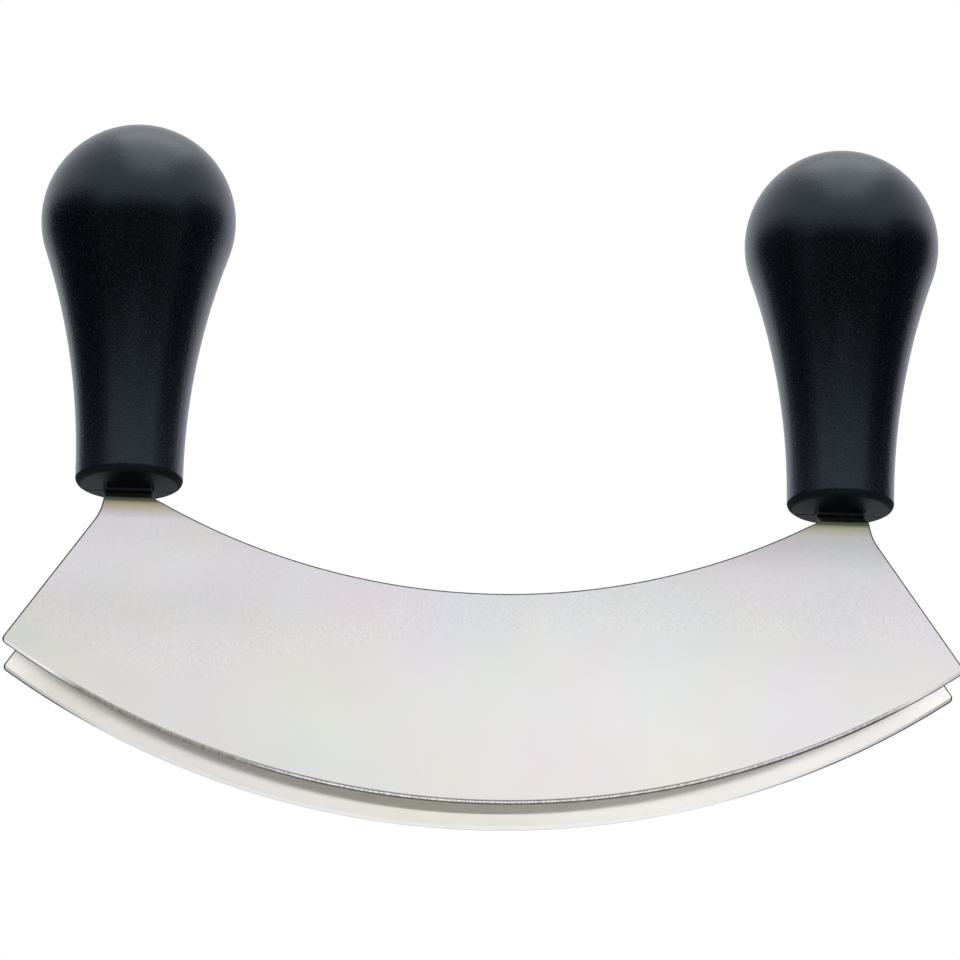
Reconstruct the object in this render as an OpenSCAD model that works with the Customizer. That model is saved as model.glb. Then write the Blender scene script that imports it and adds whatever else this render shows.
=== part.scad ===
// Double mezzaluna: two parallel curved blades under two upright ball handles.
// The origin lies under the middle of the two cutting edges. X runs along the blades,
// Y from the front blade to the rear one, and Z up to the handles.

/* [Blades] */
// Length of a blade from tip to tip
blade_len = 230; // [225:1:240]
// Radius of the curved cutting edge
edge_r = 199.5; // [195:0.5:205]
// Height of the steel halfway along a blade
mid_h = 52; // [45:0.1:54]
// Radius of the hollow upper edge
hollow_r = 162; // [160:0.5:170]
// Thickness of the sheet steel
steel_t = 1.3; // [1.1:0.1:1.6]
// Distance between the middle planes of the two blades
blade_pitch = 23.5; // [20:0.5:26]
// Height of the ground bevel above the cutting edge
bevel_h = 0.8; // [0.6:0.1:1.6]
// Flat left on the cutting edge
edge_t = 0.2; // [0.1:0.05:0.4]
// Slope of the straight end above a tip, in degrees
end_slope = 55.4; // [54:0.2:56.6]
// Radius of a rounded tip
tip_r = 1.3; // [0.8:0.1:2]
// Radius where an end sweeps up into its neck
end_sweep_r = 12; // [10:0.5:14]

/* [Necks and tangs] */
// Width of a neck, and of the tang above it
neck_w = 11.6; // [10:0.1:12]
// Radius in the inner corner of a neck
neck_fillet_r = 3; // [1:0.5:4]
// Radius of the two bends in a neck, to the middle of the sheet
bend_r = 2; // [1.5:0.1:2.5]
// Turn of each bend, in degrees
bend_turn = 68; // [62:1:74]
// Length of straight tang that shows below its handle
tang_drop = 1.2; // [0.8:0.1:2]
// Height of the tang inside its handle, to the middle of its round end
tang_h = 34; // [32:1:38]

/* [Handles] */
// Distance between the axes of the two handles
handle_pitch = 172; // [170:0.5:174]
// Height of the flat underside of the handles
base_z = 79.7; // [79:0.1:81]
// Radius of the ball at the top
ball_r = 23.7; // [22:0.1:26]
// Height of the middle of the ball above the underside
ball_h = 67.7; // [65:0.1:72]
// Radius of the round foot
foot_r = 13; // [12:0.1:14]
// Height of the straight part of the foot
foot_h = 3.1; // [2.6:0.1:6]
// Radius of the rounded lower corner
corner_r = 1.75; // [1:0.05:2.5]
// Thickness of the shell round the hollow ball
wall_t = 3; // [2:0.25:4]
// Distance from the axis back to the joint between the two shells
seam_y = 4.2; // [3:0.1:5]
// Play round a tang in its pocket
pocket_play = 0.3; // [0.1:0.05:0.5]

/* [Pins] */
// Radius of a tang pin
pin_r = 2; // [1.5:0.1:2.5]
// Length of a tang pin
pin_len = 16; // [12:0.5:18]
// Height of the lower pin above the underside
low_pin_h = 12; // [10:0.5:14]
// Height of the upper pin above the underside
high_pin_h = 28; // [25:0.5:30]

/* [Hidden] */
$fn = 96;

// Past this distance a cutting body is clear of the whole object
beyond = 300;
left = -1;
right = 1;

// Blade outline
tip_x = blade_len / 2;
tip_z = edge_r - sqrt(edge_r * edge_r - tip_x * tip_x);
hollow_z = mid_h + hollow_r;
handle_x = handle_pitch / 2;
neck_out_x = handle_x + neck_w / 2;
neck_in_x = handle_x - neck_w / 2;
tang_top_z = base_z + tang_h;
pin_heights = [low_pin_h, high_pin_h];

// An end is a straight line from its tip, and an arc that turns it upright at the neck
below_edge = 2;
sweep_x = neck_out_x + end_sweep_r;
sweep_rise = (end_sweep_r - (sweep_x - tip_x) * sin(end_slope)) / cos(end_slope);
sweep_z = tip_z + sweep_rise;
sweep_turn = 90 - end_slope;

// A tip is an arc that touches both the straight end and the cutting edge
end_way = [-cos(end_slope), sin(end_slope)];
end_inward = [-sin(end_slope), -cos(end_slope)];
tip_from_axis = [tip_x, tip_z - edge_r] + tip_r * end_inward;
along_end = tip_from_axis * end_way;
tip_reach = edge_r - tip_r;
tip_gap = along_end * along_end - tip_from_axis * tip_from_axis + tip_reach * tip_reach;
tip_shift = -along_end - sqrt(tip_gap);
tip_arc_from_axis = tip_from_axis + tip_shift * end_way;
tip_arc_centre = tip_arc_from_axis + [0, edge_r];
tip_arc_start = atan2(tip_arc_from_axis[1], tip_arc_from_axis[0]);
tip_touch_x = tip_arc_centre[0] + tip_r * cos(tip_arc_start);

// Fillet in the inner corner of a neck, where the hollow edge meets the upright neck
fillet_x = neck_in_x - neck_fillet_r;
fillet_reach = hollow_r - neck_fillet_r;
fillet_turn = acos(fillet_x / fillet_reach);
fillet_z = hollow_z - fillet_reach * sin(fillet_turn);

tip_steps = 8;
sweep_steps = 12;
tang_steps = 16;
fillet_steps = 8;
hollow_steps = 40;
// Right half of the outline, from below the tip, over the tang, to the middle
right_side = concat(
    [[tip_touch_x, -below_edge]],
    arc(tip_arc_centre, tip_r, tip_arc_start, 90 - end_slope, tip_steps),
    arc([sweep_x, sweep_z], end_sweep_r, 180 + sweep_turn, 180, sweep_steps),
    arc([handle_x, tang_top_z], neck_w / 2, 0, 180, tang_steps),
    arc([fillet_x, fillet_z], neck_fillet_r, 0, -fillet_turn, fillet_steps),
    arc([0, hollow_z], hollow_r, -fillet_turn, -90, hollow_steps)
);
left_side = [for (i = [len(right_side) - 2 : -1 : 0]) [-right_side[i][0], right_side[i][1]]];

// Side view of the sheet: upright, bent inward below the handle, and upright again
sheet_y = blade_pitch / 2;
tang_y = steel_t / 2;
bend_steps = 10;
bend_shift = 2 * bend_r * (1 - cos(bend_turn));
slant_len = (sheet_y - tang_y - bend_shift) / sin(bend_turn);
high_bend_z = base_z - tang_drop;
low_bend_z = high_bend_z - 2 * bend_r * sin(bend_turn) - slant_len * cos(bend_turn);
bend_angles = [for (i = [0 : bend_steps]) bend_turn * i / bend_steps];
unbend_angles = [for (i = [0 : bend_steps]) bend_turn * (1 - i / bend_steps)];
wide_r = bend_r + steel_t / 2;
tight_r = bend_r - steel_t / 2;

// Double cone that grinds the bevel on both faces of a blade
cone_h = edge_t / 2 + edge_r * (steel_t - edge_t) / (2 * bevel_h);

// Handle outline: a straight foot, and a hollow waist that leaves it upright and touches the ball
ball_z = base_z + ball_h;
waist_low_z = base_z + foot_h;
waist_rise = ball_h - foot_h;
waist_r = (foot_r * foot_r + waist_rise * waist_rise - ball_r * ball_r) / (2 * (ball_r - foot_r));
waist_slope = asin(waist_rise / (waist_r + ball_r));
waist_top_r = ball_r * cos(waist_slope);
waist_top_z = ball_z - ball_r * sin(waist_slope);
cavity_floor_z = tang_top_z + neck_w / 2 + wall_t;

steel_colour = [0.78, 0.79, 0.8];
handle_colour = [0.1, 0.1, 0.11];
pin_colour = [0.6, 0.61, 0.62];

// Points along an arc about a centre, from one angle to another
function arc(centre, r, from, to, steps) = [
    for (i = [0 : steps])
        let (a = from + (to - from) * i / steps)
            centre + r * [cos(a), sin(a)]
];

// Arc of one face of the lower bend, about a centre beside the upright sheet
function low_bend(r, angles) = [
    for (a = angles) [bend_r - sheet_y - r * cos(a), low_bend_z + r * sin(a)]
];

// Arc of one face of the upper bend, which ends upright a little below the handle
function high_bend(r, angles) = [
    for (a = angles) [r * cos(a) - tang_y - bend_r, high_bend_z - r * sin(a)]
];

// Front sheet seen from its end
module sheet_profile() {
    polygon(concat(
        [[-sheet_y - steel_t / 2, -below_edge]],
        low_bend(wide_r, bend_angles),
        high_bend(tight_r, unbend_angles),
        [[-steel_t, beyond], [0, beyond]],
        high_bend(wide_r, bend_angles),
        low_bend(tight_r, unbend_angles),
        [[-sheet_y + steel_t / 2, -below_edge]]
    ));
}

module bevel_cone() {
    translate([0, -sheet_y, edge_r])
        rotate([90, 0, 0])
            rotate_extrude($fn = 360)
                polygon([[0, -cone_h], [edge_r, -edge_t / 2], [edge_r, edge_t / 2], [0, cone_h]]);
}

// Front blade with its necks and tangs
module blade() {
    color(steel_colour)
        difference() {
            intersection() {
                translate([0, beyond / 2, 0])
                    rotate([90, 0, 0])
                        linear_extrude(height = beyond) polygon(concat(right_side, left_side));
                translate([-beyond / 2, 0, 0])
                    rotate([90, 0, 90])
                        linear_extrude(height = beyond) sheet_profile();
                bevel_cone();
            }
            for (side = [left, right])
                translate([side * handle_x, 0, 0]) pins_of_one_handle();
        }
}

// Outline of a handle, right of its axis
module handle_profile() {
    intersection() {
        translate([0, ball_z]) circle(r = ball_r);
        translate([0, ball_z - ball_r]) square([ball_r, 2 * ball_r]);
    }
    difference() {
        translate([0, waist_low_z]) square([waist_top_r, waist_top_z - waist_low_z]);
        translate([foot_r + waist_r, waist_low_z]) circle(r = waist_r, $fn = 360);
    }
    translate([0, base_z + corner_r]) square([foot_r, ball_h - corner_r]);
    translate([0, base_z]) square([foot_r - corner_r, ball_h]);
    intersection() {
        translate([foot_r - corner_r, base_z + corner_r]) circle(r = corner_r);
        translate([0, base_z]) square([foot_r, corner_r]);
    }
}

// Outline of the hollow inside a handle, above the tangs
module cavity_profile() {
    intersection() {
        union() {
            translate([0, ball_z]) circle(r = ball_r - wall_t);
            difference() {
                translate([0, waist_low_z]) square([waist_top_r - wall_t, waist_top_z - waist_low_z]);
                translate([foot_r + waist_r, waist_low_z]) circle(r = waist_r + wall_t, $fn = 360);
            }
        }
        translate([0, cavity_floor_z]) square([ball_r, 2 * ball_r]);
    }
}

// Hollow handle on the axis X = 0, with blind sockets for the two pins
module whole_handle() {
    difference() {
        rotate_extrude() handle_profile();
        rotate_extrude() cavity_profile();
        pins_of_one_handle();
    }
}

module pins_of_one_handle() {
    for (h = pin_heights)
        translate([0, pin_len / 2, base_z + h])
            rotate([90, 0, 0]) cylinder(r = pin_r, h = pin_len);
}

// Pocket in the front shell that takes both tangs, open at the underside and at the joint
module tang_pocket() {
    pocket_w = neck_w + 2 * pocket_play;
    pocket_depth = seam_y + steel_t;
    translate([-pocket_w / 2, -steel_t, base_z - 1]) cube([pocket_w, pocket_depth, tang_h + 1]);
    translate([0, seam_y, tang_top_z])
        rotate([90, 0, 0]) cylinder(d = pocket_w, h = pocket_depth);
}

// Rib on the rear shell that fills the pocket behind the tangs and holds them
module tang_rib() {
    rib_root = 1;
    rib_depth = seam_y + rib_root - steel_t;
    translate([-neck_w / 2, steel_t, base_z]) cube([neck_w, rib_depth, tang_h]);
    translate([0, seam_y + rib_root, tang_top_z])
        rotate([90, 0, 0]) cylinder(d = neck_w, h = rib_depth);
}

module handle_front_shell(side) {
    color(handle_colour)
        translate([side * handle_x, 0, 0])
            difference() {
                whole_handle();
                translate([-beyond / 2, seam_y, 0]) cube(beyond);
                tang_pocket();
            }
}

module handle_rear_shell(side) {
    color(handle_colour)
        translate([side * handle_x, 0, 0])
            difference() {
                union() {
                    difference() {
                        whole_handle();
                        translate([-beyond / 2, seam_y - beyond, 0]) cube(beyond);
                    }
                    tang_rib();
                }
                pins_of_one_handle();
            }
}

module tang_pins(side) {
    color(pin_colour)
        translate([side * handle_x, 0, 0]) pins_of_one_handle();
}

module front_blade() blade();
module rear_blade() mirror([0, 1, 0]) blade();
module left_handle_front_shell() handle_front_shell(left);
module left_handle_rear_shell() handle_rear_shell(left);
module right_handle_front_shell() handle_front_shell(right);
module right_handle_rear_shell() handle_rear_shell(right);
module left_tang_pins() tang_pins(left);
module right_tang_pins() tang_pins(right);

front_blade();
rear_blade();
left_handle_front_shell();
left_handle_rear_shell();
right_handle_front_shell();
right_handle_rear_shell();
left_tang_pins();
right_tang_pins();
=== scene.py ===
"""Double mezzaluna: two satin steel blades under two upright black ball handles."""
import math

import bmesh
import bpy
from mathutils import Matrix, Vector


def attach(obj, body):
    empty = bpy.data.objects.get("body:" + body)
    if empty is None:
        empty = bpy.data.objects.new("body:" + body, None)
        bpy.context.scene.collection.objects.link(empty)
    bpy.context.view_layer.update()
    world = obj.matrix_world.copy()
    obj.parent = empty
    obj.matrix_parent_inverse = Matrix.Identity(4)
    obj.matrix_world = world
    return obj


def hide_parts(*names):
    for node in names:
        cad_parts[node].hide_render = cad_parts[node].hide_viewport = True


MM = 0.001

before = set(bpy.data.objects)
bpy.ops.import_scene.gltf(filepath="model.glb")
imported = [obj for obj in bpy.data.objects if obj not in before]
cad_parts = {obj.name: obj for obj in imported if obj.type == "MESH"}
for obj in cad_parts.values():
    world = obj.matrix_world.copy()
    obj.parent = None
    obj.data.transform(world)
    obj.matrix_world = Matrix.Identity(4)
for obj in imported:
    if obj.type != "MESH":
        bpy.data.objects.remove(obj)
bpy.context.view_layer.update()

# Rounding and joining of the meshes, in millimetres
EDGE_ROUND = 0.4
SEAM_ROUND = 0.3
ROUND_STEPS = 3
MERGE_GAP = 0.03
SEAM_GAP = 0.01

# Angles that tell a flat face, a soft bend and a sharp corner apart
FLAT_ANGLE = math.radians(0.5)
CREASE_ANGLE = math.radians(26)
SHARP_CORNER = math.radians(60)

# How squarely a face points to one side: 1 is squarely, 0 is not at all
CUT_SIDE_FACING = 0.3
FLAT_SIDE_FACING = 0.95
FOOT_RIM_FACING = 0.15
UNDERSIDE_FACING = 0.95
SEAM_FACE_FACING = 0.9

# Places on a handle, in millimetres
HANDLE_AXIS_X = 86
SEAM_Y = 4.2
TANG_TOP_Z = 110
TANG_SLOT_REACH = Vector((7, 5, 6))
FOOT_RIM_TOP_Z = 81.6

# Places on a blade, in millimetres: heights stand above the lowest point of its cutting edge
HALF_BLADE = 115
OUTER_FACE_FROM = 12
CORNER_FROM = 43
CORNER_TO = 60
NECK_SHADE_FROM = 57
NECK_SHADE_TO = 71
# Heights of the painted reflections and shade where a neck bends into its handle
NECK_BEND_PAINT_FROM = 69
NECK_BEND_PAINT_TO = 81
DRIFT_FROM = 15
DRIFT_TO = 62

# The curved cutting edge and its bevel, in millimetres: both lines are measured up from the edge
EDGE_RADIUS = 199.5
BEVEL_HEIGHT = 0.8
HIGHEST_BEVEL = 45
# The dark line along the top of the bevel, on the outer faces
BEVEL_TOP_LINE_FROM = 1.1
BEVEL_TOP_LINE_TO = 0.9
EDGE_LINE_FROM = 0.32
EDGE_LINE_TO = 0.18

# Where the bevel's light changes, in millimetres from the middle of the blade
BEVEL_FADE_FROM = 96
BEVEL_FADE_TO = 103
LEFT_LIGHT_FROM = -44
LEFT_LIGHT_TO = -60
RIGHT_LIGHT_FROM = 48
RIGHT_LIGHT_TO = 70

# Upper limit of the ground zone: places along the blade and heights, in millimetres
GROUND_LIMIT = [
    (-115, 39), (-104, 38), (-91, 32), (-78, 28), (-50, 33), (-23, 38.7), (0, 41.5), (115, 41.5)]
LIMIT_SCALE = 60
RAGGED_REACH = 4
FROST_FROM = -3
FROST_TO = 22

# Pattern widths, in millimetres: all but the ragged limit and the clouds are drawn coarse to show
PIT_WIDTH = 0.5
RAGGED_WIDTH = 4
CLOUD_WIDTH = 34
SCRATCH_WIDTH = 0.5
TEAR_WIDTH = 0.6
MOULD_GRAIN_WIDTH = 0.5
NICK_WIDTH = 0.8
WIRE_RING_WIDTH = 0.8

# Strengths of the patterns on the satin steel
PIT_DARK = 0.12
PIT_LIGHT = 0.06
UNPITTED = 0.99
CLOUD_STRENGTH = 0.26

# Tones along a blade, from its left tip at 0 to its right tip at 1
OUTER_TONE = "#d4d3d3"
# Faces between the blades: painted light, brighter than the outer tone, with painted shade toward both
# tips and a little in the middle
INNER_PAINTED_LIGHT = [
    (0.05, "#ecebea"), (0.12, "#f7f6f5"), (0.3, "#f5f4f2"), (0.4, "#f1f0ed"),
    (0.52, "#f0efec"), (0.62, "#f3f2ef"), (0.86, "#f5f4f2"), (0.98, "#e6e5e3")]
# Painted shade toward the left end, on both faces
END_SHADES = [(0.0, "#efedec"), (0.22, "#f2f1f0"), (0.42, "#fcfbfa"), (0.6, "#ffffff")]
# Where the painted shade under the handles changes from its form at the left neck to its form at the
# right neck
RIGHT_NECK_FROM = 0.15
RIGHT_NECK_TO = 0.6

# Where the inner faces have a dark line on the edge, along the blade as above, and both lines' tones
INNER_LINE_ENDS = [(0.06, "#ffffff"), (0.11, "#000000"), (0.75, "#000000"), (0.87, "#ffffff")]
INNER_LINE_TONE = "#45443c"
OUTER_LINE_TONE = "#8b8a8c"

# Tones up a blade and up its necks, from the start of each range at 0 to its end at 1
# Painted reflection tint on the outer faces: faintly green low down, faintly lilac higher up
PAINTED_REFLECTION_TINTS = [(0.0, "#fbfcfa"), (1.0, "#fcfbff")]
# Painted shade under the handles, toward the necks: from lower down on the right, and only near the
# top on the left
RIGHT_NECK_SHADES = [(0.0, "#ffffff"), (1.0, "#e2e1e0")]
LEFT_NECK_SHADES = [(0.85, "#ffffff"), (1.0, "#e4e1dc")]
# Painted reflections and shade where a neck bends into its handle: straw and olive bands, a grey band,
# then near black up the tang
BEND_REFLECTIONS_AND_SHADE = [
    (0.0, "#ffffff"), (0.13, "#f2ecd8"), (0.2, "#d8d2b4"), (0.26, "#4f5646"),
    (0.45, "#4a4f45"), (0.55, "#8d908c"), (0.74, "#6d706e"), (0.82, "#17191b")]
FROST_SHARES = [
    (0.0, "#2a2a2a"), (0.1, "#5a5a5a"), (0.17, "#f0f0f0"), (0.34, "#ffffff"), (0.8, "#bcbcbc")]

# Bands of light down the bevel, from its top at 0 to the edge at 1
MIDDLE_BANDS = [
    (0.0, "#7b7a7b"), (0.12, "#8b8a8b"), (0.22, "#f0efec"), (0.55, "#f0efec"), (0.7, "#6b685c")]
LEFT_BANDS = [(0.0, "#bdb9b5"), (0.35, "#aaa6a0"), (0.55, "#938e86")]
RIGHT_BANDS = [(0.5, "#dfdddc"), (0.65, "#5a5650")]
TIP_BANDS = [(0.65, "#ffffff"), (0.85, "#5a5958")]

# Nylon: its tinted shine, the bluish bloom of its rims, and the weak shine of the duller nylon that is
# painted shade in the seam groove, the tang slot, on the front rim and under the foot
NYLON_SHEEN = "#d4ebfd"
NYLON_BLOOM = "#8fa8f0"
DULL_SHINE = 0.22

# The photograph is taken from a little below, from far off, and leans slightly
CAMERA_ELEVATION = math.radians(-18)
CAMERA_AZIMUTH = math.radians(-2.6)
CAMERA_LEAN = math.radians(1.2)
CAMERA_DISTANCE = 1670 * MM
CAMERA_AIM = Vector((-1.4, 0, 84.3)) * MM
CAMERA_SEES_TO_METRES = 20
PHOTO_WIDTH_PX = 960
PX_PER_MM = 4.14
SENSOR_MM = 36

# The studio: its floor, its soft white light, and the spread in degrees of a lamp with no grid
FLOOR_METRES = 12
FLOOR_MOTTLES_PER_METRE = 9
SOFT_LIGHT = 0.7
WIDE_OPEN = 180

# Node settings that come up often
COLOUR_MIX = {"data_type": "RGBA"}
MULTIPLY = {"data_type": "RGBA", "blend_type": "MULTIPLY"}
SOFT_STEP = {"interpolation_type": "SMOOTHSTEP"}


def linear_colour(code):
    """The linear colour, with alpha, of an sRGB hex value."""
    parts = [int(code[i:i + 2], 16) / 255 for i in (1, 3, 5)]
    curve = [p / 12.92 if p <= 0.04045 else ((p + 0.055) / 1.055) ** 2.4 for p in parts]
    return (*curve, 1)


def add_node(tree, kind, settings=None, inputs=None, links=None, stops=()):
    """A node with its settings, its inputs' values, what feeds its inputs, and a ramp's colours."""
    node = tree.nodes.new(kind)
    for name, value in (settings or {}).items():
        setattr(node, name, value)
    for name, value in (inputs or {}).items():
        node.inputs[name].default_value = value
    for name, source in (links or {}).items():
        tree.links.new(source, node.inputs[name])
    for number, (position, code) in enumerate(stops):
        elements = node.color_ramp.elements
        if number == len(elements):
            elements.new(position)
        elements[number].position = position
        elements[number].color = linear_colour(code)
    return node


def new_material(name):
    """An empty node material, its tree, and its output node."""
    material = bpy.data.materials.new(name)
    material.use_nodes = True
    tree = material.node_tree
    tree.nodes.clear()
    return material, tree, add_node(tree, "ShaderNodeOutputMaterial")


def grain_scale(width_mm):
    """Noise scale at which one grain is about this wide."""
    return 1 / (width_mm * MM)


def distance_from_edge_axis(tree, place):
    """How far a point is from the axis that the curved cutting edge turns round."""
    flat = add_node(
        tree, "ShaderNodeVectorMath", {"operation": "MULTIPLY_ADD"},
        inputs={1: (1, 0, 1), 2: (0, 0, -EDGE_RADIUS * MM)}, links={0: place})
    length = add_node(
        tree, "ShaderNodeVectorMath", {"operation": "LENGTH"}, links={0: flat.outputs["Vector"]})
    return length.outputs["Value"]


def bevel_share(tree, x):
    """One along most of the cutting edge, down to none at its two ends, where the bevel dies out."""
    out_from_centre = add_node(tree, "ShaderNodeMath", {"operation": "ABSOLUTE"}, links={0: x})
    share = add_node(
        tree, "ShaderNodeMapRange",
        inputs={"From Min": BEVEL_FADE_FROM * MM, "From Max": BEVEL_FADE_TO * MM,
                "To Min": 1, "To Max": 0},
        links={"Value": out_from_centre.outputs["Value"]})
    return share.outputs["Result"]


def share_along_blade(tree, x):
    """How far along the blade a point is, from none at the left tip to one at the right tip."""
    along = add_node(
        tree, "ShaderNodeMapRange",
        inputs={"From Min": -HALF_BLADE * MM, "From Max": HALF_BLADE * MM}, links={"Value": x})
    return along.outputs["Result"]


def on_outer_face(tree, y):
    """One on the two outer faces, and none on the two that look at each other."""
    out_from_middle = add_node(tree, "ShaderNodeMath", {"operation": "ABSOLUTE"}, links={0: y})
    outer = add_node(
        tree, "ShaderNodeMath", {"operation": "GREATER_THAN"},
        inputs={1: OUTER_FACE_FROM * MM}, links={0: out_from_middle.outputs["Value"]})
    return outer.outputs["Value"]


def share_of_frost(tree, place, height, along):
    """How frosted the sheet is: little in the ground zone, and most just above its ragged limit."""
    limit = add_node(tree, "ShaderNodeFloatCurve", links={"Value": along})
    curve = limit.mapping.curves[0]
    while len(curve.points) < len(GROUND_LIMIT):
        curve.points.new(0.5, 0.5)
    for point, (x, z) in zip(curve.points, GROUND_LIMIT):
        point.location = ((x + HALF_BLADE) / (2 * HALF_BLADE), z / LIMIT_SCALE)
    limit.mapping.update()
    ragged = add_node(
        tree, "ShaderNodeTexNoise",
        inputs={"Scale": grain_scale(RAGGED_WIDTH), "Detail": 4}, links={"Vector": place})
    shift = add_node(
        tree, "ShaderNodeMapRange",
        inputs={"To Min": -RAGGED_REACH * MM, "To Max": RAGGED_REACH * MM},
        links={"Value": ragged.outputs["Fac"]})
    shifted = add_node(
        tree, "ShaderNodeMath", {"operation": "ADD"},
        links={0: height, 1: shift.outputs["Result"]})
    above = add_node(
        tree, "ShaderNodeMath", {"operation": "MULTIPLY_ADD"},
        inputs={1: -LIMIT_SCALE * MM},
        links={0: limit.outputs["Value"], 2: shifted.outputs["Value"]})
    zone = add_node(
        tree, "ShaderNodeMapRange",
        inputs={"From Min": FROST_FROM * MM, "From Max": FROST_TO * MM},
        links={"Value": above.outputs["Value"]})
    share = add_node(
        tree, "ShaderNodeValToRGB", links={"Fac": zone.outputs["Result"]}, stops=FROST_SHARES)
    return share.outputs["Color"]


def pitted_frost(tree, place, frost_share):
    """Blasting pits, darker and lighter than the sheet, drawn coarser than real ones to show."""
    pits = add_node(
        tree, "ShaderNodeTexNoise",
        inputs={"Scale": grain_scale(PIT_WIDTH), "Detail": 2, "Roughness": 0.7, "Distortion": 0.6},
        links={"Vector": place})
    pit_tone = add_node(
        tree, "ShaderNodeMapRange",
        inputs={"From Min": 0.32, "From Max": 0.68, "To Min": -PIT_DARK, "To Max": PIT_LIGHT},
        links={"Value": pits.outputs["Fac"]})
    frost = add_node(
        tree, "ShaderNodeMath", {"operation": "MULTIPLY_ADD"},
        inputs={2: UNPITTED}, links={0: pit_tone.outputs["Result"], 1: frost_share})
    return frost.outputs["Value"]


def sheet_colour(tree, place, height, along, outer):
    """The bright sheet: its outer tone, painted light and shade along the faces between the blades,
    faint pastel clouds, a painted reflection tint up the outer faces, and painted shade toward the
    left end.
    """
    # Painted light on the faces between the blades, with painted shade toward the tips
    inner_painted_light = add_node(tree, "ShaderNodeValToRGB", links={"Fac": along}, stops=INNER_PAINTED_LIGHT)
    tone = add_node(
        tree, "ShaderNodeMix", COLOUR_MIX,
        inputs={"B": linear_colour(OUTER_TONE)},
        links={"Factor": outer, "A": inner_painted_light.outputs["Color"]})
    clouds = add_node(
        tree, "ShaderNodeTexNoise",
        inputs={"Scale": grain_scale(CLOUD_WIDTH), "Detail": 2, "Roughness": 0.6},
        links={"Vector": place})
    clouded = add_node(
        tree, "ShaderNodeMix", {"data_type": "RGBA", "blend_type": "SOFT_LIGHT"},
        inputs={"Factor": CLOUD_STRENGTH},
        links={"A": tone.outputs["Result"], "B": clouds.outputs["Color"]})
    # Painted reflection tint that changes with height, on the outer faces only
    rise = add_node(
        tree, "ShaderNodeMapRange", SOFT_STEP,
        inputs={"From Min": DRIFT_FROM * MM, "From Max": DRIFT_TO * MM}, links={"Value": height})
    reflection_tint = add_node(
        tree, "ShaderNodeValToRGB", links={"Fac": rise.outputs["Result"]}, stops=PAINTED_REFLECTION_TINTS)
    reflection_tinted = add_node(
        tree, "ShaderNodeMix", MULTIPLY,
        links={"Factor": outer, "A": clouded.outputs["Result"], "B": reflection_tint.outputs["Color"]})
    # Painted shade toward the left end, fading out toward the upper corner
    end_shade = add_node(tree, "ShaderNodeValToRGB", links={"Fac": along}, stops=END_SHADES)
    below_corner = add_node(
        tree, "ShaderNodeMapRange", SOFT_STEP,
        inputs={"From Min": CORNER_FROM * MM, "From Max": CORNER_TO * MM,
                "To Min": 1, "To Max": 0},
        links={"Value": height})
    end_shaded = add_node(
        tree, "ShaderNodeMix", MULTIPLY,
        links={"Factor": below_corner.outputs["Result"], "A": reflection_tinted.outputs["Result"],
               "B": end_shade.outputs["Color"]})
    return end_shaded.outputs["Result"]


def bend_painted_at_necks(tree, height, along, colour):
    """The sheet with painted shade toward its necks, under the handles, then painted reflections and
    shade where the necks bend: straw, olive, grey and near black up the tang.
    """
    # Painted shade toward the necks, under the handles
    to_neck = add_node(
        tree, "ShaderNodeMapRange", SOFT_STEP,
        inputs={"From Min": NECK_SHADE_FROM * MM, "From Max": NECK_SHADE_TO * MM},
        links={"Value": height})
    left_shade, right_shade = [
        add_node(
            tree, "ShaderNodeValToRGB",
            links={"Fac": to_neck.outputs["Result"]}, stops=shades).outputs["Color"]
        for shades in (LEFT_NECK_SHADES, RIGHT_NECK_SHADES)]
    to_right = add_node(
        tree, "ShaderNodeMapRange",
        inputs={"From Min": RIGHT_NECK_FROM, "From Max": RIGHT_NECK_TO}, links={"Value": along})
    neck_shade = add_node(
        tree, "ShaderNodeMix", COLOUR_MIX,
        links={"Factor": to_right.outputs["Result"], "A": left_shade, "B": right_shade})
    shaded = add_node(
        tree, "ShaderNodeMix", MULTIPLY,
        inputs={"Factor": 1}, links={"A": colour, "B": neck_shade.outputs["Result"]})
    # Painted reflections and shade where the neck bends into the handle
    up_neck = add_node(
        tree, "ShaderNodeMapRange",
        inputs={"From Min": NECK_BEND_PAINT_FROM * MM, "From Max": NECK_BEND_PAINT_TO * MM},
        links={"Value": height})
    bend_paint = add_node(
        tree, "ShaderNodeValToRGB", links={"Fac": up_neck.outputs["Result"]}, stops=BEND_REFLECTIONS_AND_SHADE)
    bend_painted = add_node(
        tree, "ShaderNodeMix", MULTIPLY,
        inputs={"Factor": 1},
        links={"A": shaded.outputs["Result"], "B": bend_paint.outputs["Color"]})
    return bend_painted.outputs["Result"]


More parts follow.
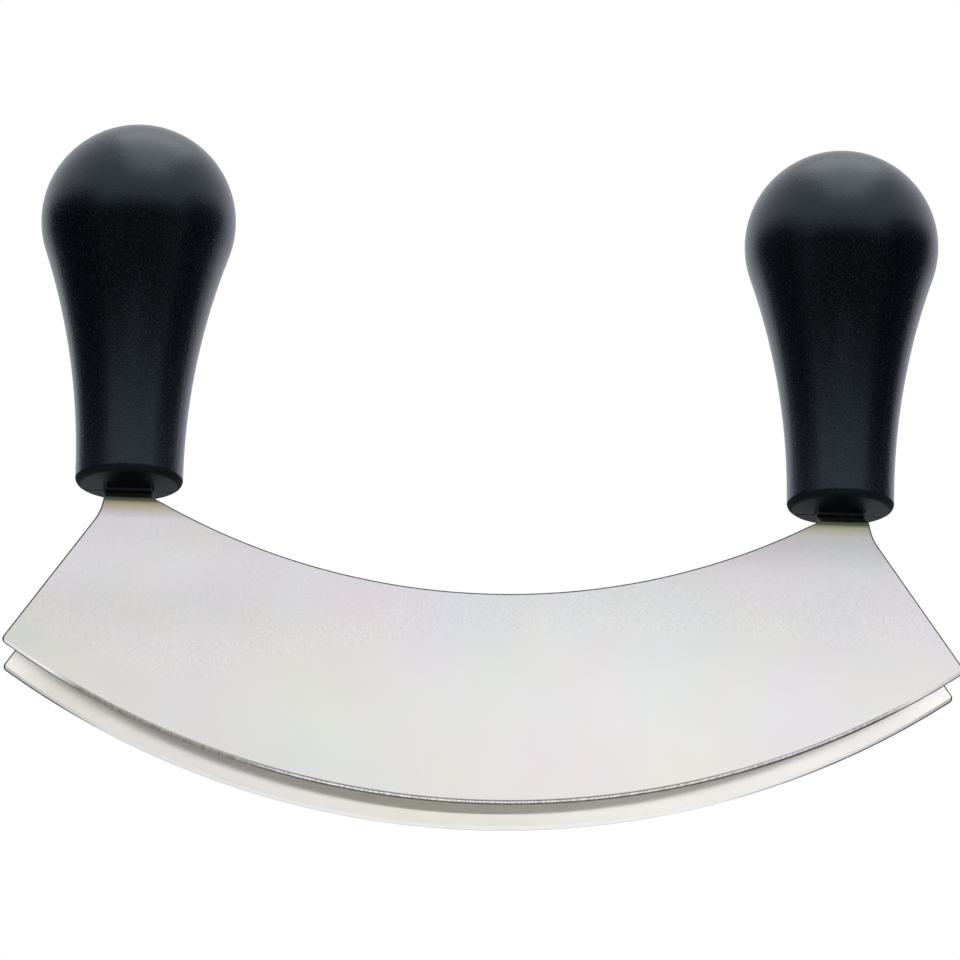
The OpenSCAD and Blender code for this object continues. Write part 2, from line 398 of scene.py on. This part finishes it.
def lined_edge(tree, place, x, along, outer, colour):
    """The sheet with a dark line along the top of the bevel, and a dark line on the edge toward the
    tips.
    """
    from_axis = distance_from_edge_axis(tree, place)
    near_bevel = add_node(
        tree, "ShaderNodeMapRange",
        inputs={"From Min": (EDGE_RADIUS - BEVEL_TOP_LINE_FROM) * MM,
                "From Max": (EDGE_RADIUS - BEVEL_TOP_LINE_TO) * MM},
        links={"Value": from_axis})
    bevel_top_line = add_node(
        tree, "ShaderNodeMath", {"operation": "MULTIPLY"},
        links={0: near_bevel.outputs["Result"], 1: outer})
    at_edge = add_node(
        tree, "ShaderNodeMapRange",
        inputs={"From Min": (EDGE_RADIUS - EDGE_LINE_FROM) * MM,
                "From Max": (EDGE_RADIUS - EDGE_LINE_TO) * MM},
        links={"Value": from_axis})
    outer_line = add_node(
        tree, "ShaderNodeMix",
        links={"Factor": bevel_share(tree, x), "A": at_edge.outputs["Result"],
               "B": bevel_top_line.outputs["Value"]})
    inner_ends = add_node(
        tree, "ShaderNodeValToRGB", links={"Fac": along}, stops=INNER_LINE_ENDS)
    inner_line = add_node(
        tree, "ShaderNodeMath", {"operation": "MULTIPLY"},
        links={0: inner_ends.outputs["Color"], 1: at_edge.outputs["Result"]})
    line = add_node(
        tree, "ShaderNodeMix",
        links={"Factor": outer, "A": inner_line.outputs["Value"],
               "B": outer_line.outputs["Result"]})
    line_tone = add_node(
        tree, "ShaderNodeMix", COLOUR_MIX,
        inputs={"A": linear_colour(INNER_LINE_TONE), "B": linear_colour(OUTER_LINE_TONE)},
        links={"Factor": outer})
    lined = add_node(
        tree, "ShaderNodeMix", COLOUR_MIX,
        links={"Factor": line.outputs["Result"], "A": colour, "B": line_tone.outputs["Result"]})
    return lined.outputs["Result"]


def satin_stainless_steel():
    """Stainless sheet, blasted to a fine frost above and ground smoother toward the edge."""
    material, tree, output = new_material("satin_stainless_steel")
    place = add_node(tree, "ShaderNodeTexCoord").outputs["Object"]
    parts = add_node(tree, "ShaderNodeSeparateXYZ", links={"Vector": place})
    x = parts.outputs["X"]
    height = parts.outputs["Z"]
    along = share_along_blade(tree, x)
    outer = on_outer_face(tree, parts.outputs["Y"])
    frost_share = share_of_frost(tree, place, height, along)
    frost = pitted_frost(tree, place, frost_share)
    sheet = sheet_colour(tree, place, height, along, outer)
    # Painted shade toward the necks, and painted reflections and shade at their bends
    bend_painted = bend_painted_at_necks(tree, height, along, sheet)
    flecked = add_node(
        tree, "ShaderNodeMix", MULTIPLY, inputs={"Factor": 1}, links={"A": bend_painted, "B": frost})
    lined = lined_edge(tree, place, x, along, outer, flecked.outputs["Result"])
    roughness = add_node(
        tree, "ShaderNodeMapRange", inputs={"To Min": 0.36, "To Max": 0.38},
        links={"Value": frost_share})
    bump = add_node(
        tree, "ShaderNodeBump", inputs={"Strength": 0.25, "Distance": 0.02 * MM},
        links={"Height": frost})
    shader = add_node(
        tree, "ShaderNodeBsdfPrincipled", inputs={"Metallic": 1},
        links={"Base Color": lined, "Roughness": roughness.outputs["Result"],
               "Normal": bump.outputs["Normal"]})
    tree.links.new(shader.outputs["BSDF"], output.inputs["Surface"])
    return material


def belt_ground_steel():
    """Edge ground on a fine belt: its bands of light differ along the blade, scratched across."""
    material, tree, output = new_material("belt_ground_steel")
    place = add_node(tree, "ShaderNodeTexCoord").outputs["Object"]
    x = add_node(tree, "ShaderNodeSeparateXYZ", links={"Vector": place}).outputs["X"]
    down_bevel = add_node(
        tree, "ShaderNodeMapRange",
        inputs={"From Min": (EDGE_RADIUS - BEVEL_HEIGHT) * MM, "From Max": EDGE_RADIUS * MM},
        links={"Value": distance_from_edge_axis(tree, place)})
    middle, left, right, tip = [
        add_node(
            tree, "ShaderNodeValToRGB",
            links={"Fac": down_bevel.outputs["Result"]}, stops=bands).outputs["Color"]
        for bands in (MIDDLE_BANDS, LEFT_BANDS, RIGHT_BANDS, TIP_BANDS)]
    to_left = add_node(
        tree, "ShaderNodeMapRange",
        inputs={"From Min": LEFT_LIGHT_FROM * MM, "From Max": LEFT_LIGHT_TO * MM},
        links={"Value": x})
    to_right = add_node(
        tree, "ShaderNodeMapRange",
        inputs={"From Min": RIGHT_LIGHT_FROM * MM, "From Max": RIGHT_LIGHT_TO * MM},
        links={"Value": x})
    left_or_middle = add_node(
        tree, "ShaderNodeMix", COLOUR_MIX,
        links={"Factor": to_left.outputs["Result"], "A": middle, "B": left})
    banded = add_node(
        tree, "ShaderNodeMix", COLOUR_MIX,
        links={"Factor": to_right.outputs["Result"], "A": left_or_middle.outputs["Result"],
               "B": right})
    across = add_node(
        tree, "ShaderNodeMapping", inputs={"Scale": (1, 0.2, 0.2)}, links={"Vector": place})
    scratches = add_node(
        tree, "ShaderNodeTexNoise",
        inputs={"Scale": grain_scale(SCRATCH_WIDTH), "Detail": 2},
        links={"Vector": across.outputs["Vector"]})
    scratch_tone = add_node(
        tree, "ShaderNodeValToRGB", links={"Fac": scratches.outputs["Fac"]},
        stops=[(0.4, "#d4d4d4"), (0.6, "#ffffff")])
    scratched = add_node(
        tree, "ShaderNodeMix", MULTIPLY,
        inputs={"Factor": 1},
        links={"A": banded.outputs["Result"], "B": scratch_tone.outputs["Color"]})
    colour = add_node(
        tree, "ShaderNodeMix", COLOUR_MIX,
        links={"Factor": bevel_share(tree, x), "A": tip, "B": scratched.outputs["Result"]})
    roughness = add_node(
        tree, "ShaderNodeMapRange", inputs={"To Min": 0.25, "To Max": 0.4},
        links={"Value": scratches.outputs["Fac"]})
    shader = add_node(
        tree, "ShaderNodeBsdfPrincipled", inputs={"Metallic": 1},
        links={"Base Color": colour.outputs["Result"], "Roughness": roughness.outputs["Result"]})
    tree.links.new(shader.outputs["BSDF"], output.inputs["Surface"])
    return material


def sheared_steel_edge():
    """The cut sides of the sheet, left as the press sheared them: dull, dark and rough."""
    material, tree, output = new_material("sheared_steel_edge")
    place = add_node(tree, "ShaderNodeTexCoord").outputs["Object"]
    tearing = add_node(
        tree, "ShaderNodeTexNoise",
        inputs={"Scale": grain_scale(TEAR_WIDTH), "Detail": 3}, links={"Vector": place})
    colour = add_node(
        tree, "ShaderNodeValToRGB", links={"Fac": tearing.outputs["Fac"]},
        stops=[(0.35, "#3a3b3f"), (0.7, "#5e5f64")])
    roughness = add_node(
        tree, "ShaderNodeMapRange", inputs={"To Min": 0.5, "To Max": 0.7},
        links={"Value": tearing.outputs["Fac"]})
    bump = add_node(
        tree, "ShaderNodeBump", inputs={"Strength": 0.3, "Distance": 0.03 * MM},
        links={"Height": tearing.outputs["Fac"]})
    shader = add_node(
        tree, "ShaderNodeBsdfPrincipled", inputs={"Metallic": 1},
        links={"Base Color": colour.outputs["Color"], "Roughness": roughness.outputs["Result"],
               "Normal": bump.outputs["Normal"]})
    tree.links.new(shader.outputs["BSDF"], output.inputs["Surface"])
    return material


def moulded_black_nylon():
    """Nylon moulded in a spark-eroded tool: deep black, matt, fine-grained, with a bluish bloom."""
    material, tree, output = new_material("moulded_black_nylon")
    place = add_node(tree, "ShaderNodeTexCoord").outputs["Object"]
    grain = add_node(
        tree, "ShaderNodeTexNoise",
        inputs={"Scale": grain_scale(MOULD_GRAIN_WIDTH), "Detail": 3, "Roughness": 0.7},
        links={"Vector": place})
    colour = add_node(
        tree, "ShaderNodeValToRGB", links={"Fac": grain.outputs["Fac"]},
        stops=[(0.0, "#000102"), (0.56, "#020305"), (0.7, "#1c222b")])
    roughness = add_node(
        tree, "ShaderNodeMapRange",
        inputs={"From Min": 0.3, "From Max": 0.7, "To Min": 0.25, "To Max": 0.31},
        links={"Value": grain.outputs["Fac"]})
    bump = add_node(
        tree, "ShaderNodeBump", inputs={"Strength": 1, "Distance": 0.06 * MM},
        links={"Height": grain.outputs["Fac"]})
    shader = add_node(
        tree, "ShaderNodeBsdfPrincipled",
        inputs={"Specular Tint": linear_colour(NYLON_SHEEN), "Sheen Weight": 0.2,
                "Sheen Roughness": 0.35, "Sheen Tint": linear_colour(NYLON_BLOOM)},
        links={"Base Color": colour.outputs["Color"], "Roughness": roughness.outputs["Result"],
               "Normal": bump.outputs["Normal"]})
    tree.links.new(shader.outputs["BSDF"], output.inputs["Surface"])
    return material


def grainless_nylon(name, roughness_from, roughness_to):
    """Nylon without the moulded grain, duller than the moulded nylon, as painted shade: dead matt in
    the seam groove, the tang slot and on the front rim, half matt under the foot.
    """
    material, tree, output = new_material(name)
    place = add_node(tree, "ShaderNodeTexCoord").outputs["Object"]
    nicks = add_node(
        tree, "ShaderNodeTexNoise",
        inputs={"Scale": grain_scale(NICK_WIDTH), "Detail": 2}, links={"Vector": place})
    colour = add_node(
        tree, "ShaderNodeValToRGB", links={"Fac": nicks.outputs["Fac"]},
        stops=[(0.4, "#010203"), (0.7, "#05070b")])
    roughness = add_node(
        tree, "ShaderNodeMapRange", inputs={"To Min": roughness_from, "To Max": roughness_to},
        links={"Value": nicks.outputs["Fac"]})
    shader = add_node(
        tree, "ShaderNodeBsdfPrincipled",
        inputs={"Specular IOR Level": DULL_SHINE, "Specular Tint": linear_colour(NYLON_SHEEN)},
        links={"Base Color": colour.outputs["Color"], "Roughness": roughness.outputs["Result"]})
    tree.links.new(shader.outputs["BSDF"], output.inputs["Surface"])
    return material


def drawn_steel_pin():
    """Plain steel wire, drawn: a duller grey with fine rings from the die."""
    material, tree, output = new_material("drawn_steel_pin")
    place = add_node(tree, "ShaderNodeTexCoord").outputs["Object"]
    rings = add_node(
        tree, "ShaderNodeTexWave", {"bands_direction": "Y"},
        inputs={"Scale": grain_scale(WIRE_RING_WIDTH), "Distortion": 1, "Detail": 2},
        links={"Vector": place})
    roughness = add_node(
        tree, "ShaderNodeMapRange", inputs={"To Min": 0.3, "To Max": 0.45},
        links={"Value": rings.outputs["Fac"]})
    shader = add_node(
        tree, "ShaderNodeBsdfPrincipled",
        inputs={"Base Color": linear_colour("#a9abae"), "Metallic": 1},
        links={"Roughness": roughness.outputs["Result"]})
    tree.links.new(shader.outputs["BSDF"], output.inputs["Surface"])
    return material


def black_felt():
    """Black felt on the screens: hardly any light comes back from it."""
    material, tree, output = new_material("black_felt")
    cloth = add_node(tree, "ShaderNodeBsdfDiffuse", inputs={"Color": linear_colour("#1a1a1c")})
    tree.links.new(cloth.outputs["BSDF"], output.inputs["Surface"])
    return material


def pale_floor():
    """Pale painted floor, faintly mottled, and clear when looked at from below."""
    material, tree, output = new_material("pale_floor")
    place = add_node(tree, "ShaderNodeTexCoord").outputs["Object"]
    mottle = add_node(
        tree, "ShaderNodeTexNoise",
        inputs={"Scale": FLOOR_MOTTLES_PER_METRE, "Detail": 2}, links={"Vector": place})
    tone = add_node(
        tree, "ShaderNodeMix", COLOUR_MIX,
        inputs={"A": linear_colour("#f2f2f2"), "B": linear_colour("#ececec")},
        links={"Factor": mottle.outputs["Fac"]})
    paint = add_node(tree, "ShaderNodeBsdfDiffuse", links={"Color": tone.outputs["Result"]})
    clear = add_node(tree, "ShaderNodeBsdfTransparent")
    from_below = add_node(tree, "ShaderNodeNewGeometry").outputs["Backfacing"]
    either = add_node(
        tree, "ShaderNodeMixShader",
        links={0: from_below, 1: paint.outputs["BSDF"], 2: clear.outputs["BSDF"]})
    tree.links.new(either.outputs["Shader"], output.inputs["Surface"])
    return material


def select_only(piece):
    """Deselects everything but this piece and makes it active."""
    bpy.ops.object.select_all(action="DESELECT")
    piece.select_set(True)
    bpy.context.view_layer.objects.active = piece


def welded_copy(node_name, name, finishes):
    """A copy of a node's mesh, welded, with its flat faces joined and its own finishes."""
    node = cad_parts[node_name]
    piece = bpy.data.objects.new(name, node.data.copy())
    bpy.context.scene.collection.objects.link(piece)
    select_only(piece)
    bpy.ops.object.mode_set(mode="EDIT")
    bpy.ops.mesh.select_all(action="SELECT")
    bpy.ops.mesh.remove_doubles(threshold=MERGE_GAP * MM)
    bpy.ops.mesh.dissolve_limited(angle_limit=FLAT_ANGLE)
    bpy.ops.object.mode_set(mode="OBJECT")
    bpy.ops.mesh.customdata_custom_splitnormals_clear()
    piece.data.materials.clear()
    for finish in finishes:
        piece.data.materials.append(finish)
    return piece


def smooth_faces(piece):
    """Smooths everything but the sharp corners, and keeps flat faces flat."""
    bpy.ops.object.shade_smooth_by_angle(angle=CREASE_ANGLE)
    flatness = piece.modifiers.new("flatness", "WEIGHTED_NORMAL")
    flatness.keep_sharp = True
    bpy.ops.object.modifier_apply(modifier="flatness")


def round_corners(piece, slot_index):
    """Rounds the sharp corners; their new faces take this material slot."""
    rounding = piece.modifiers.new("rounding", "BEVEL")
    rounding.width = EDGE_ROUND * MM
    rounding.segments = ROUND_STEPS
    rounding.limit_method = "ANGLE"
    rounding.angle_limit = SHARP_CORNER
    rounding.use_clamp_overlap = False
    rounding.material = slot_index
    bpy.ops.object.modifier_apply(modifier="rounding")


def soften_seam(piece, middle, slot_index):
    """Rounds the outward edges of the joint between two shells; new faces take this slot."""
    bpy.ops.object.mode_set(mode="EDIT")
    bpy.ops.mesh.select_mode(type="EDGE")
    bpy.ops.mesh.select_all(action="DESELECT")
    mesh = bmesh.from_edit_mesh(piece.data)
    for edge in mesh.edges:
        at_seam = all(abs(corner.co.y - SEAM_Y * MM) < SEAM_GAP * MM for corner in edge.verts)
        centre = (edge.verts[0].co + edge.verts[1].co) / 2
        faces_out = any(
            abs(face.normal.y) < SEAM_FACE_FACING and face.normal.dot(centre - middle) > 0
            for face in edge.link_faces)
        edge.select_set(at_seam and faces_out)
    mesh.select_flush_mode()
    bmesh.update_edit_mesh(piece.data)
    bpy.ops.mesh.bevel(
        offset=SEAM_ROUND * MM, segments=ROUND_STEPS, affect="EDGES", clamp_overlap=False,
        material=slot_index)
    bpy.ops.object.mode_set(mode="OBJECT")


def stand_for(piece, node_name):
    """The piece rides with the body, replaces its node, and has its finish."""
    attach(piece, "root")
    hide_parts(node_name)


def make_blade(side):
    """A blade with satin faces, a ground bevel, and dull sheared sides."""
    node_name = f"{side}_blade"
    finishes = [satin, sheared, ground]
    piece = welded_copy(node_name, f"{side}_satin_blade", finishes)
    outward = -1 if side == "front" else 1
    for face in piece.data.polygons:
        facing = face.normal.y * outward
        if abs(facing) < CUT_SIDE_FACING:
            face.material_index = finishes.index(sheared)
        elif 0 < facing < FLAT_SIDE_FACING and face.center.z < HIGHEST_BEVEL * MM:
            face.material_index = finishes.index(ground)
    round_corners(piece, finishes.index(sheared))
    smooth_faces(piece)
    stand_for(piece, node_name)


def make_shell(end, side):
    """One moulded shell of a handle, with the soft edge that shows at the seam."""
    node_name = f"{end}_handle_{side}_shell"
    finishes = [nylon, dull_shade, underside_shade]
    piece = welded_copy(node_name, f"{node_name}_moulded", finishes)
    middle = Vector((HANDLE_AXIS_X if end == "right" else -HANDLE_AXIS_X, 0, TANG_TOP_Z)) * MM
    # Painted shade: the underside, the tang slot and the front shell's lower rim take duller nylon
    for face in piece.data.polygons:
        from_middle = face.center - middle
        in_tang_slot = (
            abs(from_middle.x) < TANG_SLOT_REACH.x * MM
            and abs(from_middle.y) < TANG_SLOT_REACH.y * MM
            and from_middle.z < TANG_SLOT_REACH.z * MM)
        on_foot = face.center.z < FOOT_RIM_TOP_Z * MM
        on_front_rim = side == "front" and on_foot and face.normal.z < -FOOT_RIM_FACING
        if on_foot and face.normal.z < -UNDERSIDE_FACING:
            face.material_index = finishes.index(underside_shade)
        elif in_tang_slot or on_front_rim:
            face.material_index = finishes.index(dull_shade)
    # The rounded seam takes the dead matt nylon, painted shade in the groove
    soften_seam(piece, middle, finishes.index(dull_shade))
    smooth_faces(piece)
    stand_for(piece, node_name)


def finish_pins(end):
    """The hidden pins keep their own mesh and get their wire finish."""
    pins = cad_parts[f"{end}_tang_pins"]
    pins.data.materials.clear()
    pins.data.materials.append(pin_steel)


def make_camera():
    """A long lens from below, aimed at the middle of the photograph."""
    data = bpy.data.cameras.new("camera")
    camera = bpy.data.objects.new("camera", data)
    bpy.context.scene.collection.objects.link(camera)
    back = Vector((
        math.sin(CAMERA_AZIMUTH) * math.cos(CAMERA_ELEVATION),
        -math.cos(CAMERA_AZIMUTH) * math.cos(CAMERA_ELEVATION),
        math.sin(CAMERA_ELEVATION)))
    level = (-back).to_track_quat("-Z", "Y").to_matrix().to_4x4()
    lean = Matrix.Rotation(CAMERA_LEAN, 4, "Z")
    camera.matrix_world = Matrix.Translation(CAMERA_AIM + back * CAMERA_DISTANCE) @ level @ lean
    data.sensor_width = SENSOR_MM
    data.lens = SENSOR_MM * PX_PER_MM * (CAMERA_DISTANCE / MM) / PHOTO_WIDTH_PX
    data.clip_end = CAMERA_SEES_TO_METRES
    bpy.context.scene.camera = camera


def make_floor():
    """A pale floor that hides nothing from a camera below it."""
    material = pale_floor()
    bpy.ops.object.select_all(action="DESELECT")
    bpy.ops.mesh.primitive_plane_add(size=FLOOR_METRES)
    floor = bpy.context.object
    floor.name = "floor"
    floor.data.materials.append(material)
    floor.visible_shadow = False
    floor.visible_glossy = False


def make_world():
    """White behind the object and in every reflection, and a softer white as light."""
    world = bpy.data.worlds.new("studio")
    bpy.context.scene.world = world
    world.use_nodes = True
    tree = world.node_tree
    tree.nodes.clear()
    path = add_node(tree, "ShaderNodeLightPath")
    mirrored = add_node(
        tree, "ShaderNodeMath", {"operation": "MAXIMUM"},
        links={0: path.outputs["Is Glossy Ray"], 1: path.outputs["Is Transmission Ray"]})
    seen = add_node(
        tree, "ShaderNodeMath", {"operation": "MAXIMUM"},
        links={0: path.outputs["Is Camera Ray"], 1: mirrored.outputs["Value"]})
    soft = add_node(
        tree, "ShaderNodeBackground",
        inputs={"Color": linear_colour("#fbfcff"), "Strength": SOFT_LIGHT})
    white = add_node(
        tree, "ShaderNodeBackground", inputs={"Color": linear_colour("#ffffff"), "Strength": 1})
    mix = add_node(
        tree, "ShaderNodeMixShader",
        links={0: seen.outputs["Value"], 1: soft.outputs["Background"],
               2: white.outputs["Background"]})
    add_node(tree, "ShaderNodeOutputWorld", links={"Surface": mix.outputs["Shader"]})


def make_lamp(name, place_mm, size_mm, watts, aim_mm, spread=WIDE_OPEN):
    """A soft rectangular lamp, aimed at a point; a grid on it narrows its spread."""
    data = bpy.data.lights.new(name, "AREA")
    data.shape = "RECTANGLE"
    data.size = size_mm[0] * MM
    data.size_y = size_mm[1] * MM
    data.energy = watts
    data.spread = math.radians(spread)
    lamp = bpy.data.objects.new(name, data)
    bpy.context.scene.collection.objects.link(lamp)
    lamp.location = Vector(place_mm) * MM
    aim = (Vector(aim_mm) * MM) - lamp.location
    lamp.rotation_euler = aim.to_track_quat("-Z", "Y").to_euler()
    lamp.visible_camera = False


def make_dark_screen(name, low_mm, high_mm):
    """A felt screen that only reflections see, as a studio sets one beside metal."""
    bpy.ops.object.select_all(action="DESELECT")
    bpy.ops.mesh.primitive_cube_add(size=1)
    screen = bpy.context.object
    screen.name = name
    screen.scale = (Vector(high_mm) - Vector(low_mm)) * MM
    screen.location = (Vector(high_mm) + Vector(low_mm)) * MM / 2
    screen.data.materials.append(felt)
    screen.visible_camera = False
    screen.visible_shadow = False
    screen.visible_diffuse = False


make_camera()
make_world()
make_floor()
felt = black_felt()
make_dark_screen("front_screen", (-3800, -3020, -2000), (3800, -3000, 600))
make_dark_screen("left_screen", (-920, -720, -600), (-900, 760, 500))
make_dark_screen("right_screen", (900, -720, -600), (920, 560, 500))
make_lamp(
    "low_strip", place_mm=(105, -500, -81), size_mm=(590, 8), watts=0.137,
    aim_mm=(105, 0, 40), spread=20)
make_lamp(
    "top_softbox", place_mm=(100, -375, 1300), size_mm=(1750, 1000), watts=8.75,
    aim_mm=(0, -375, 80))

satin = satin_stainless_steel()
ground = belt_ground_steel()
sheared = sheared_steel_edge()
nylon = moulded_black_nylon()
# Dead matt nylon, painted shade in the seam groove, the tang slot and on the front rim
dull_shade = grainless_nylon("dull_shade_nylon", roughness_from=0.75, roughness_to=0.95)
# Half matt nylon, painted shade under the foot
underside_shade = grainless_nylon("underside_shade_nylon", roughness_from=0.55, roughness_to=0.7)
pin_steel = drawn_steel_pin()

for side in ("front", "rear"):
    make_blade(side)
for end in ("left", "right"):
    for side in ("front", "rear"):
        make_shell(end, side)
    finish_pins(end)

bpy.context.scene.view_settings.view_transform = "Standard"
